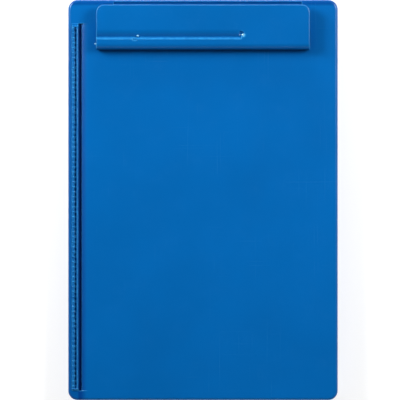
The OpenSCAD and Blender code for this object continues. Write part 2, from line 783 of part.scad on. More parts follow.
function spring_path() =
  let (
    x_end = coil_pitch * (coil_end - coil_start) / 360,
    first = coil_point(coil_start, coil_start, coil_pitch),
    last = coil_point(coil_end, coil_start, coil_pitch)
  )
  concat(
    [first + lower_leg * [0, cos(lower_lean), -sin(lower_lean)]],
    [for (i = [0:coil_steps])
      coil_point(coil_start + i * (coil_end - coil_start) / coil_steps, coil_start, coil_pitch)],
    [last + upper_leg * [0, cos(upper_lean), sin(upper_lean)]]
  );

function unit(v) = v / norm(v);

// Ring of points round each point of the path, square to it
function tube_points(path, r, sides) = [
  for (i = [0:len(path) - 1])
    let (
      before = path[max(i - 1, 0)],
      after = path[min(i + 1, len(path) - 1)],
      t = unit(after - before),
      n = unit(cross(t, [1, 0, 0])),
      b = cross(n, t)
    )
    for (k = [0:sides - 1])
      path[i] + r * (cos(360 * k / sides) * n + sin(360 * k / sides) * b)
];

function tube_faces(rings, sides) = concat(
  [[for (k = [0:sides - 1]) k]],
  [
    for (i = [0:rings - 2], k = [0:sides - 1])
      let (a = i * sides + k, b = i * sides + (k + 1) % sides)
      each [[a, a + sides, b + sides], [a, b + sides, b]]
  ],
  [[for (k = [sides - 1:-1:0]) (rings - 1) * sides + k]]
);

module spring(side) color(steel) {
  path = spring_path();
  half_coil = coil_pitch * (coil_end - coil_start) / 720;
  translate([side * bracket_x - half_coil, clip_y + pivot_y, case_h + pivot_h])
    polyhedron(points = tube_points(path, wire_r, wire_sides), faces = tube_faces(len(path), wire_sides));
}

module clip_spring_left() spring(-1);

module clip_spring_right() spring(1);

// Least distance between turns that aren't neighbours along the wire
coil_only = [for (i = [1:coil_steps + 1]) spring_path()[i]];
turn_rings = 360 / ring_step;
least_turn_gap = min([
  for (i = [0:len(coil_only) - 1], j = [i + turn_rings - 2:1:len(coil_only) - 1])
    norm(coil_only[i] - coil_only[j])
]) - 2 * wire_r;
echo(least_turn_gap = least_turn_gap);

tray();
lid();
hinge_pin();
hinge_cap_top();
hinge_cap_bottom();
latch();
latch_pin();
clip_lever();
jaw_pad();
clip_pivot_pin();
pivot_retainer_left();
pivot_retainer_right();
clip_spring_left();
clip_spring_right();
clip_bracket_left();
clip_bracket_right();
rivet_left_front();
rivet_left_rear();
rivet_right_front();
rivet_right_rear();
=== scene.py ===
"""Studio scene of a storage clipboard box.

The box is a shallow document tray closed by a side-hinged writing board. The board carries a wide sprung
clip with a pen channel, a ladder strip with a gutter along its left side, and a swing latch on its right.
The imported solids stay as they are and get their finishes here. The clip's springs, the rubber pad under its
jaw, the push-on rings of its pivot, the three small pins pressed into it and the ejector marks of the
mouldings are modelled here. All sizes are in metres.
"""

import logging
import math
from dataclasses import dataclass
from enum import Enum
from typing import Any

import bmesh
import bpy
from bmesh.types import BMesh
from bpy.types import Material, Node, NodeSocket, Object
from mathutils import Matrix, Vector


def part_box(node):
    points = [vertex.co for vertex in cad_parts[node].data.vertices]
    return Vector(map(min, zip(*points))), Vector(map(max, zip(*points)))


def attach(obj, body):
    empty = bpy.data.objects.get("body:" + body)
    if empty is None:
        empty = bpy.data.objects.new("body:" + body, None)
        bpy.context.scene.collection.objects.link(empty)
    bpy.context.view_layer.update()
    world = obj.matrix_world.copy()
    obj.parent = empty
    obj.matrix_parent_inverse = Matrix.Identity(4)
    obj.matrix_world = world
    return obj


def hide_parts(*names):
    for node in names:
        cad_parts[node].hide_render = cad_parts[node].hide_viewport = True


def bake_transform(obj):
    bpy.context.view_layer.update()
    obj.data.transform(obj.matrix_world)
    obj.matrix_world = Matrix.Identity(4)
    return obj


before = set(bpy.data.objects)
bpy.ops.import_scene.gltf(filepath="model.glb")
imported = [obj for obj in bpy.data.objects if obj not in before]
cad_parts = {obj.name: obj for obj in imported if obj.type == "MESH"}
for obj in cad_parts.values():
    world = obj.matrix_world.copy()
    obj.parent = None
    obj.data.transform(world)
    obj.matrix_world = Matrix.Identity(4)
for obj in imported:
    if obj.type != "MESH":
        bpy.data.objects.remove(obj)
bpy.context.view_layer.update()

LOG = logging.getLogger("clipboard_box")
Colour = tuple[float, float, float]
Triple = tuple[float, float, float]
Pair = tuple[float, float]

# The two ways a mask can run, and the values between which most of a noise pattern lies.
RISING: Pair = (0.0, 1.0)
FALLING: Pair = (1.0, 0.0)
NOISE_SWING: Pair = (0.3, 0.7)
# The distance under which vertices are merged, and the least upright share of a level face's normal.
WELD = 1e-7
LEVEL_FACE = 0.9


def tinted(colour: Colour, factor: float) -> Colour:
    """Make a colour lighter or darker."""
    return tuple(channel * factor for channel in colour)


def around(middle: float, spread: Pair) -> Pair:
    """Give the two ends of a spread about a value."""
    return (middle + spread[0], middle + spread[1])


class Body(Enum):
    """The bodies that the pieces ride on."""

    TRAY = "tray_body"
    BOARD = "lid_body"
    CLIP = "clip_body"
    LATCH = "latch_body"


class Slot(Enum):
    """The record's material slots."""

    PLASTIC = "blue_plastic"
    STEEL = "steel"
    RUBBER = "rubber"


class Side(Enum):
    """The two ends of the clip, by the sign of their x."""

    LEFT = -1
    RIGHT = 1

    @property
    def word(self) -> str:
        """The side's name as the nodes spell it."""
        return self.name.lower()


class Axis(Enum):
    """The object's axes, as the sockets of a node spell them."""

    ACROSS = "X"
    ALONG = "Y"
    UP = "Z"


class Op(Enum):
    """The operations that join two values in a finish."""

    PLUS = "ADD"
    TIMES = "MULTIPLY"
    LEAST = "MINIMUM"
    MOST = "MAXIMUM"


# ---------------------------------------------------------------- finishes


@dataclass(frozen=True)
class Span:
    """A stretch of the object along one axis, with the width over which its mask fades outside it."""

    axis: Axis
    low: float
    high: float
    soft: float


class Sheet:
    """A material's node tree, with short calls that add nodes and join them."""

    def __init__(self, name: str) -> None:
        """Start an empty material.

        Args:
            name: the material's name.
        """
        self.material = bpy.data.materials.new(name)
        self.material.use_nodes = True
        self.tree = self.material.node_tree
        self.tree.nodes.clear()
        self.place = self.node("ShaderNodeTexCoord").outputs["Object"]

    def node(self, kind: str, inputs: dict[str | int, Any] | None = None, **settings: Any) -> Node:
        """Add one node.

        Args:
            kind: the node's type.
            inputs: values or sockets for the node's inputs, by name or number.
            settings: the node's own settings.

        Returns:
            The node.
        """
        made = self.tree.nodes.new(kind)
        for key, value in settings.items():
            setattr(made, key, value)
        for key, value in (inputs or {}).items():
            if isinstance(value, NodeSocket):
                self.tree.links.new(value, made.inputs[key])
            else:
                made.inputs[key].default_value = value
        return made

    def noise(self, size: float, detail: float = 2.0, stretch: Triple = (1.0, 1.0, 1.0)) -> NodeSocket:
        """Add a noise pattern on the object's own coordinates.

        Args:
            size: the size of one blotch.
            detail: how many finer layers lie on it.
            stretch: how much denser the pattern is along x, y and z.

        Returns:
            The pattern, about 0.5 on average.
        """
        turned = self.node("ShaderNodeMapping", {"Vector": self.place, "Scale": stretch})
        pattern = {"Vector": turned.outputs[0], "Scale": 1.0 / size, "Detail": detail}
        return self.node("ShaderNodeTexNoise", pattern).outputs["Fac"]

    def remap(self, value: NodeSocket, start: Pair, end: Pair) -> NodeSocket:
        """Stretch a value from one range to another, and clamp it there.

        Args:
            value: the socket to read.
            start: the range that is read.
            end: the range that it becomes.

        Returns:
            The new value.
        """
        ends = {"Value": value, 1: start[0], 2: start[1], 3: end[0], 4: end[1]}
        return self.node("ShaderNodeMapRange", ends, clamp=True).outputs[0]

    def coordinate(self, axis: Axis) -> NodeSocket:
        """Read the place on one axis."""
        return self.node("ShaderNodeSeparateXYZ", {0: self.place}).outputs[axis.value]

    def band(self, span: Span) -> NodeSocket:
        """Mask the part of the piece that lies within a stretch of an axis.

        Args:
            span: the stretch.

        Returns:
            The mask.
        """
        place = self.coordinate(span.axis)
        rise = self.remap(place, (span.low - span.soft, span.low), RISING)
        return self.maths(Op.TIMES, rise, self.remap(place, (span.high, span.high + span.soft), FALLING))

    def openness(self, reach: float, inside: bool = False) -> NodeSocket:
        """Measure how free the space before the surface is, or how deep the material behind it.

        Args:
            reach: how far it looks.
            inside: whether it looks into the material, which finds ridges in place of grooves.

        Returns:
            The measure, 1 where nothing is near.
        """
        looked = self.node("ShaderNodeAmbientOcclusion", {"Distance": reach}, samples=8, inside=inside)
        return looked.outputs["AO"]

    def maths(self, operation: Op, a: NodeSocket | float, b: NodeSocket | float) -> NodeSocket:
        """Join two values by one operation.

        Args:
            operation: the operation.
            a: the first value.
            b: the second value.

        Returns:
            The result.
        """
        return self.node("ShaderNodeMath", {0: a, 1: b}, operation=operation.value).outputs[0]

    def blend(
        self, factor: NodeSocket, a: NodeSocket | Colour, b: NodeSocket | Colour
    ) -> NodeSocket:
        """Mix two colours.

        Args:
            factor: the share of the second colour.
            a: the first colour.
            b: the second colour.

        Returns:
            The mixed colour.
        """
        tints = [tint if isinstance(tint, NodeSocket) else (*tint, 1.0) for tint in (a, b)]
        mixed = self.node("ShaderNodeMix", {0: factor, 6: tints[0], 7: tints[1]}, data_type="RGBA")
        return mixed.outputs[2]

    def bump(self, height: NodeSocket, depth: float, normal: NodeSocket | None = None) -> NodeSocket:
        """Add a relief.

        Args:
            height: the relief's pattern.
            depth: its depth.
            normal: the surface it lies on, or None for the plain surface.

        Returns:
            The new normal.
        """
        inputs = {"Height": height, "Distance": depth, "Strength": 1.0}
        if normal is not None:
            inputs["Normal"] = normal
        return self.node("ShaderNodeBump", inputs).outputs[0]

    def close(self, shader: NodeSocket) -> Material:
        """Give the material its shader.

        Args:
            shader: the shader's output.

        Returns:
            The finished material.
        """
        self.node("ShaderNodeOutputMaterial", {"Surface": shader})
        return self.material


class SoftEdge:
    """The slight radius that every moulded or pressed edge has, with a mask of where it lies."""

    AGREEMENT: Pair = (0.985, 0.8)

    def __init__(self, sheet: Sheet, radius: float) -> None:
        """Add the nodes. The mask grows as the softened normal agrees less with the flat one.

        Args:
            sheet: the material they go into.
            radius: the radius of the edges.
        """
        self.normal = sheet.node("ShaderNodeBevel", {"Radius": radius}, samples=8).outputs[0]
        flat = sheet.node("ShaderNodeNewGeometry").outputs["True Normal"]
        turn = sheet.node("ShaderNodeVectorMath", {0: self.normal, 1: flat}, operation="DOT_PRODUCT")
        self.mask = sheet.remap(turn.outputs["Value"], self.AGREEMENT, RISING)


@dataclass(frozen=True)
class MouldedPlastic:
    """Satin plastic from a spark-eroded mould: fine grain, edges lightened partly by wear and partly by a
    painted highlight, and painted shade in the grooves.
    """

    name: str
    colour: Colour = (0.0002, 0.122, 0.414)
    # The rubbed colour lightens edges and ridges, partly as wear and partly as a painted highlight; the shade
    # colour is the painted shade of grooves and corners.
    wear_and_highlight_tone: Colour = (0.035, 0.33, 0.70)
    shade: Colour = (0.0, 0.038, 0.23)
    pigment: Pair = (0.95, 1.05)
    pigment_cloud: float = 0.07
    shine: float = 0.38
    roughness: float = 0.24
    flow: float = 0.022
    flow_rough: Pair = (-0.01, 0.02)
    grain: float = 0.00032
    grain_depth: float = 0.000006
    grain_rough: Pair = (-0.02, 0.03)
    edge: float = 0.0003
    edge_rough: float = 0.04
    # The next three values set how strongly and where edges are lightened, partly as wear and partly as a
    # painted highlight.
    wear_and_highlight: float = 0.75
    wear_and_highlight_patch: float = 0.004
    wear_and_highlight_range: Pair = (0.5, 1.0)
    crest: float = 0.0013
    crest_openness: Pair = (0.9, 0.55)
    # The next three values set the painted shade: grooves, corners and the feet of walls are darkened where
    # nearby surfaces hem them in.
    painted_shade_strength: float = 0.4
    painted_shade_reach: float = 0.004
    painted_shade_openness: Pair = (0.35, 0.95)

    def make(self) -> Material:
        """Build the material.

        Returns:
            The material.
        """
        sheet = Sheet(self.name)
        edge = SoftEdge(sheet, self.edge)
        grain = sheet.noise(self.grain, 3.0)
        normal = sheet.bump(grain, self.grain_depth, edge.normal)
        rough, normal = self.handled(sheet, self.satin(sheet, grain, edge), normal)
        shader = sheet.node(
            "ShaderNodeBsdfPrincipled",
            {
                "Base Color": self.tone(sheet, edge),
                "Roughness": rough,
                "Specular IOR Level": self.shine,
                "Normal": normal,
            },
        )
        return sheet.close(shader.outputs[0])

    def satin(self, sheet: Sheet, grain: NodeSocket, edge: SoftEdge) -> NodeSocket:
        """Vary the roughness with the melt's flow and the grain, and raise it on rubbed edges.

        Args:
            sheet: the material.
            grain: the pattern of the grain.
            edge: its edges.

        Returns:
            The roughness.
        """
        flow = sheet.noise(self.flow, 2.0)
        rough = sheet.remap(flow, NOISE_SWING, around(self.roughness, self.flow_rough))
        rough = sheet.maths(Op.PLUS, rough, sheet.remap(grain, NOISE_SWING, self.grain_rough))
        return sheet.maths(Op.PLUS, rough, sheet.maths(Op.TIMES, edge.mask, self.edge_rough))

    def handled(
        self, sheet: Sheet, rough: NodeSocket, normal: NodeSocket
    ) -> tuple[NodeSocket, NodeSocket]:
        """Leave the surface as it is moulded. A finish with marks of use adds them here.

        Args:
            sheet: the material.
            rough: the roughness.
            normal: the normal.

        Returns:
            The roughness and the normal.
        """
        return rough, normal

    def tone(self, sheet: Sheet, edge: SoftEdge) -> NodeSocket:
        """Vary the pigment slowly, paint shade into the grooves and corners, and lighten the edges and
        ridges, partly as wear and partly as a painted highlight.

        Args:
            sheet: the material.
            edge: its edges.

        Returns:
            The colour.
        """
        cloud = sheet.remap(sheet.noise(self.pigment_cloud, 3.0), NOISE_SWING, RISING)
        dark, light = (tinted(self.colour, share) for share in self.pigment)
        tone = sheet.blend(cloud, dark, light)
        # Painted shade: grooves and corners are darkened towards the shade colour.
        tone = sheet.blend(self.painted_shade_mask(sheet), tone, self.shade)
        # Edges and ridges are lightened, partly as wear and partly as a painted highlight.
        patch = sheet.remap(sheet.noise(self.wear_and_highlight_patch, 4.0), (0.35, 0.65), self.wear_and_highlight_range)
        strength = sheet.maths(Op.TIMES, patch, self.wear_and_highlight)
        wear_and_highlight_share = sheet.maths(Op.TIMES, self.wear_and_highlight_mask(sheet, edge), strength)
        return sheet.blend(wear_and_highlight_share, tone, self.wear_and_highlight_tone)

    def painted_shade_mask(self, sheet: Sheet) -> NodeSocket:
        """Mask the grooves and corners that get painted shade."""
        return sheet.remap(sheet.openness(self.painted_shade_reach), self.painted_shade_openness, (self.painted_shade_strength, 0.0))

    def wear_and_highlight_mask(self, sheet: Sheet, edge: SoftEdge) -> NodeSocket:
        """Mask the edges and narrow ridges that are lightened, partly as wear and partly as a painted
        highlight.
        """
        ridge = sheet.remap(sheet.openness(self.crest, inside=True), self.crest_openness, RISING)
        return sheet.maths(Op.MOST, edge.mask, ridge)


@dataclass(frozen=True)
class Hairlines:
    """Fine scratches that run one way, where a stretched noise pattern is at its highest."""

    width: float
    stretch: Triple
    peak: Pair

    def mask(self, sheet: Sheet) -> NodeSocket:
        """Mask the scratches."""
        return sheet.remap(sheet.noise(self.width, 1.0, self.stretch), self.peak, RISING)


@dataclass(frozen=True)
class BoardPlastic(MouldedPlastic):
    """The board's plastic: painted shade beside its gutter and on its ladder strip, a painted shadow behind
    the clip, and hairlines left by sheets of paper.
    """

    # Edges lightened partly by wear and partly as a painted highlight; painted shade that reaches about a
    # centimetre from walls such as the clip's sides.
    wear_and_highlight: float = 0.9
    painted_shade_reach: float = 0.010
    ramp_x: Pair = (-0.1085, -0.1035)
    strip_x: Pair = (-0.1115, -0.1105)
    strip_end_y: Pair = (0.150, 0.156)
    rear_y: Pair = (0.1725, 0.1745)
    # The strengths of the painted shade beside the gutter and on the ladder strip, and of the painted shadow
    # behind the clip.
    gutter_painted_shade: float = 0.85
    strip_painted_shade: float = 0.35
    rear_painted_shadow: float = 0.6
    lengthways: Hairlines = Hairlines(0.0011, (1.0, 0.012, 1.0), (0.66, 0.74))
    crossways: Hairlines = Hairlines(0.0012, (0.02, 1.0, 1.0), (0.68, 0.76))
    handled_patch: float = 0.05
    handled_range: Pair = (0.45, 0.65)
    hairline_rough: float = 0.03
    hairline_depth: float = 0.000004

    def painted_shade_mask(self, sheet: Sheet) -> NodeSocket:
        """Add painted shade in and beside the gutter and on the ladder strip, and a painted shadow in the
        band behind the clip.

        Args:
            sheet: the material.

        Returns:
            The mask.
        """
        across, along = sheet.coordinate(Axis.ACROSS), sheet.coordinate(Axis.ALONG)
        ramp = sheet.remap(across, self.ramp_x, (self.gutter_painted_shade, 0.0))
        strip = sheet.remap(across, self.strip_x, (self.strip_painted_shade, self.gutter_painted_shade))
        below = sheet.remap(along, self.strip_end_y, FALLING)
        gutter_shade = sheet.maths(Op.TIMES, sheet.maths(Op.LEAST, ramp, strip), below)
        # Painted shadow in the band behind the clip.
        rear = sheet.remap(along, self.rear_y, (0.0, self.rear_painted_shadow))
        return sheet.maths(Op.MOST, super().painted_shade_mask(sheet), sheet.maths(Op.MOST, gutter_shade, rear))

    def handled(
        self, sheet: Sheet, rough: NodeSocket, normal: NodeSocket
    ) -> tuple[NodeSocket, NodeSocket]:
        """Scratch the writing face with faint hairlines.

        Args:
            sheet: the material.
            rough: the roughness.
            normal: the normal.

        Returns:
            The roughness and the normal.
        """
        lines = sheet.maths(Op.MOST, self.lengthways.mask(sheet), self.crossways.mask(sheet))
        where = sheet.remap(sheet.noise(self.handled_patch, 2.0), self.handled_range, RISING)
        marks = sheet.maths(Op.TIMES, lines, where)
        rough = sheet.maths(Op.PLUS, rough, sheet.maths(Op.TIMES, marks, self.hairline_rough))
        return rough, sheet.bump(marks, -self.hairline_depth, normal)


@dataclass(frozen=True)
class ClipPlastic(MouldedPlastic):
    """The clip's plastic, with a painted highlight along the slope of its channel's curb."""

    colour: Colour = (0.0002, 0.114, 0.384)
    edge: float = 0.0005
    # Stronger lightening of edges, partly wear and partly a painted highlight, and weaker painted shade.
    wear_and_highlight: float = 1.1
    painted_shade_strength: float = 0.25
    # The stretch of the channel's curb that gets the painted highlight.
    curb: tuple[Span, ...] = (
        Span(Axis.ACROSS, -0.1, 0.0340, 0.0006),
        Span(Axis.ALONG, 0.1430, 0.1441, 0.0008),
        Span(Axis.UP, 0.0352, 0.05, 0.0004),
    )
    # The strength of the painted highlight on the curb.
    curb_highlight: float = 0.48

    def wear_and_highlight_mask(self, sheet: Sheet, edge: SoftEdge) -> NodeSocket:
        """Add a painted highlight on the slope of the curb to the edges lightened by wear and painted
        highlight.

        Args:
            sheet: the material.
            edge: its edges.

        Returns:
            The mask.
        """
        highlight_slope: NodeSocket | float = self.curb_highlight
        for span in self.curb:
            highlight_slope = sheet.maths(Op.TIMES, highlight_slope, sheet.band(span))
        return sheet.maths(Op.MOST, super().wear_and_highlight_mask(sheet, edge), highlight_slope)


@dataclass(frozen=True)
class ZincSteel:
    """Zinc-plated sheet or wire, drawn or rolled along one axis."""

    name: str
    colour: Colour = (0.56, 0.57, 0.59)
    tint: Colour = (0.60, 0.57, 0.49)
    bright: Colour = (0.75, 0.76, 0.78)
    roughness: float = 0.3
    grain: Triple = (1.0, 30.0, 30.0)
    line: float = 0.002
    line_depth: float = 0.000003
    line_rough: Pair = (-0.06, 0.1)
    blotch: float = 0.003
    blotch_cover: float = 0.6
    edge: float = 0.00012
    edge_wear: float = 0.35

    def make(self) -> Material:
        """Build the material.

        Returns:
            The material.
        """
        sheet = Sheet(self.name)
        edge = SoftEdge(sheet, self.edge)
        drawn = sheet.noise(self.line, 3.0, self.grain)
        clouds = sheet.remap(sheet.noise(self.blotch, 3.0), (0.35, 0.7), (0.0, self.blotch_cover))
        tone = sheet.blend(clouds, self.colour, self.tint)
        tone = sheet.blend(sheet.maths(Op.TIMES, edge.mask, self.edge_wear), tone, self.bright)
        rough = sheet.remap(drawn, NOISE_SWING, around(self.roughness, self.line_rough))
        shader = sheet.node(
            "ShaderNodeBsdfPrincipled",
            {
                "Base Color": tone,
                "Metallic": 1.0,
                "Roughness": rough,
                "Normal": sheet.bump(drawn, self.line_depth, edge.normal),
            },
        )
        return sheet.close(shader.outputs[0])


@dataclass(frozen=True)
class MattRubber:
    """Black rubber with a fine matt skin and a little dust in its grain."""

    name: str
    colour: Colour = (0.018, 0.019, 0.02)
    dust: Colour = (0.075, 0.075, 0.072)
    dust_patch: float = 0.006
    dust_cover: float = 0.5
    shine: float = 0.35
    roughness: float = 0.72
    grain: float = 0.00025
    grain_depth: float = 0.000012
    grain_rough: Pair = (-0.08, 0.1)

    def make(self) -> Material:
        """Build the material.

        Returns:
            The material.
        """
        sheet = Sheet(self.name)
        grain = sheet.noise(self.grain, 3.0)
        patch = sheet.remap(sheet.noise(self.dust_patch, 4.0), (0.45, 0.75), (0.0, self.dust_cover))
        shader = sheet.node(
            "ShaderNodeBsdfPrincipled",
            {
                "Base Color": sheet.blend(patch, self.colour, self.dust),
                "Roughness": sheet.remap(grain, NOISE_SWING, around(self.roughness, self.grain_rough)),
                "Specular IOR Level": self.shine,
                "Normal": sheet.bump(grain, self.grain_depth),
            },
        )
        return sheet.close(shader.outputs[0])


@dataclass(frozen=True)
class PaleFloor:
    """A matt pale table top that keeps the box's soft shadow and fades to plain white further out."""

    name: str = "pale_floor"
    colour: Colour = (0.60, 0.60, 0.60)
    mottle: float = 0.25
    glow: float = 0.56
    fade: Pair = (0.5, 2.4)

    def make(self) -> Material:
        """Build the material.

        Returns:
            The material.
        """
        sheet = Sheet(self.name)
        mottle = sheet.remap(sheet.noise(self.mottle, 2.0), NOISE_SWING, RISING)
        tone = sheet.blend(mottle, self.colour, tinted(self.colour, 1.02))
        away = sheet.node("ShaderNodeVectorMath", {0: sheet.place}, operation="LENGTH").outputs["Value"]
        tone = sheet.blend(sheet.remap(away, self.fade, RISING), tone, (0.0, 0.0, 0.0))
        matt = sheet.node("ShaderNodeBsdfDiffuse", {"Color": tone})
        ray = sheet.node("ShaderNodeLightPath").outputs
        seen = sheet.maths(Op.MOST, ray["Is Camera Ray"], ray["Is Glossy Ray"])
        seen = sheet.maths(Op.MOST, seen, ray["Is Transmission Ray"])
        level = sheet.remap(away, self.fade, (self.glow, 1.0))
        white = sheet.node("ShaderNodeEmission", {"Strength": sheet.maths(Op.TIMES, seen, level)})
        both = sheet.node("ShaderNodeAddShader", {0: matt.outputs[0], 1: white.outputs[0]})
        return sheet.close(both.outputs[0])


# ---------------------------------------------------------------- pieces


def dress(node: str, material: Material) -> None:
    """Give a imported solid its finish.

    Args:
        node: the solid's name.
        material: its material.
    """
    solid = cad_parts[node]
    if not solid.material_slots:
        solid.data.materials.append(material)
    for place in solid.material_slots:
        place.material = material
    LOG.info("%s wears %s", node, material.name)


def piece(bm: BMesh, name: str, material: Material, smooth: float = 35.0) -> Object:
    """Turn a finished bmesh into a piece at the origin.

    Args:
        bm: the shape, which is freed.
        name: the piece's name.
        material: its material.
        smooth: the angle in degrees above which an edge stays sharp.

    Returns:
        The piece, which rides on nothing yet.
    """
    bmesh.ops.remove_doubles(bm, verts=bm.verts, dist=WELD)
    bmesh.ops.recalc_face_normals(bm, faces=bm.faces)
    mesh = bpy.data.meshes.new(name)
    bm.to_mesh(mesh)
    bm.free()
    for face in mesh.polygons:
        face.use_smooth = True
    mesh.set_sharp_from_angle(angle=math.radians(smooth))
    mesh.materials.append(material)
    made = bpy.data.objects.new(name, mesh)
    bpy.context.scene.collection.objects.link(made)
    LOG.info("%s built with %d faces", name, len(mesh.polygons))
    return made


def round_edges(bm: BMesh, radius: float, steep: float = 40.0, segments: int = 2) -> None:
    """Round every edge of a shape that is sharper than an angle.

    Args:
        bm: the shape.
        radius: the width of the rounding.
        steep: the angle in degrees.
        segments: the faces across it.
    """
    bmesh.ops.recalc_face_normals(bm, faces=bm.faces)
    sharp = [edge for edge in bm.edges if edge.calc_face_angle(0.0) > math.radians(steep)]
    bmesh.ops.bevel(
        bm,
        geom=sharp,
        offset=radius,
        affect="EDGES",
        segments=segments,
        profile=0.5,
        material=-1,
        clamp_overlap=True,
    )


# ---------------------------------------------------------------- sub-assemblies


@dataclass
class EjectorMarks:
    """The flat round marks that the mould's ejector pins leave on a hidden face.

    Each of the rings is the width and depth of one step inside the rim, as shares of the radius and rise.
    """

    name: str
    body: Body
    face_z: float
    facing: int
    columns: tuple[float, ...]
    rows: tuple[float, ...]
    radius: float = 0.003
    rise: float = 0.00012
    segments: int = 28
    rings: tuple[Pair, ...] = ((0.09, -0.4), (0.08, 0.3))

    def build(self, material: Material) -> Object:
        """Model all the marks of one moulding as one piece.

        Args:
            material: the moulding's material.

        Returns:
            The piece.
        """
        bm = bmesh.new()
        for x in self.columns:
            for y in self.rows:
                self.mark(bm, Vector((x, y, self.face_z)))
        marks = piece(bm, self.name, material, 60.0)
        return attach(marks, self.body.value)

    def mark(self, bm: BMesh, centre: Vector) -> None:
        """Add one mark: a low disc with a shallow ring cut inside its rim.

        Args:
            bm: the shape it goes into.
            centre: where it lies on the face.
        """
        up = Vector((0.0, 0.0, self.facing * self.rise))
        disc = bmesh.ops.create_circle(bm, cap_ends=True, segments=self.segments, radius=self.radius)
        verts = disc["verts"]
        bmesh.ops.translate(bm, verts=verts, vec=centre - up)
        base = [face for face in verts[0].link_faces if len(face.verts) == self.segments]
        raised = bmesh.ops.extrude_face_region(bm, geom=base, use_keep_orig=True)
        top = [part for part in raised["geom"] if isinstance(part, bmesh.types.BMFace)]
        bmesh.ops.translate(bm, verts=top[0].verts[:], vec=2 * up)
        for width, depth in self.rings:
            bmesh.ops.inset_region(bm, faces=top, thickness=self.radius * width, depth=self.rise * depth)


@dataclass
class DocumentTray:
    """The tray below the board, with its divider, latch pocket and half of the hinge."""

    floor_z: float = 0.0022
    columns: tuple[float, ...] = (-0.08, 0.0, 0.08)
    rows: tuple[float, ...] = (-0.145, -0.055, 0.035, 0.105)

    def build(self) -> None:
        """Dress the tray and add its ejector marks."""
        plastic = MouldedPlastic("tray_plastic", roughness=0.42, grain=0.0004, grain_depth=0.000008).make()
        dress("tray", plastic)
        marks = EjectorMarks("tray_ejector_marks", Body.TRAY, self.floor_z, 1, self.columns, self.rows)
        marks.build(plastic)


@dataclass
class WritingBoard:
    """The board with its writing face, ladder strip and gutter."""

    underside_z: float = 0.0224
    columns: tuple[float, ...] = (-0.0525, 0.0535)
    rows: tuple[float, ...] = (-0.1366, -0.0774, -0.0182, 0.0411, 0.1003)

    def build(self) -> None:
        """Dress the board and add the ejector marks of its underside."""
        plastic = BoardPlastic("board_plastic").make()
        dress("lid", plastic)
        marks = EjectorMarks(
            "board_ejector_marks", Body.BOARD, self.underside_z, -1, self.columns, self.rows
        )
        marks.build(plastic)


@dataclass
class SideHinge:
    """The steel pin through the knuckles on the left, with its two caps."""

    caps: tuple[str, ...] = ("hinge_cap_top", "hinge_cap_bottom")

    def build(self) -> None:
        """Dress the pin and the caps."""
        dress("hinge_pin", ZincSteel("hinge_pin_steel", grain=(30.0, 1.0, 30.0)).make())
        plastic = MouldedPlastic("cap_plastic", roughness=0.34, edge=0.0002).make()
        for cap in self.caps:
            dress(cap, plastic)


@dataclass
class SwingLatch:
    """The latch in the board's right rim, with its pin."""

    grip_edge: float = 0.00035

    def build(self) -> None:
        """Dress the latch and its pin."""
        # Its edges are lightened less, partly as wear and partly as a painted highlight.
        plastic = MouldedPlastic("latch_plastic", roughness=0.34, edge=self.grip_edge, wear_and_highlight=0.6)
        dress("latch", plastic.make())
        dress("latch_pin", ZincSteel("latch_pin_steel", grain=(30.0, 1.0, 30.0)).make())


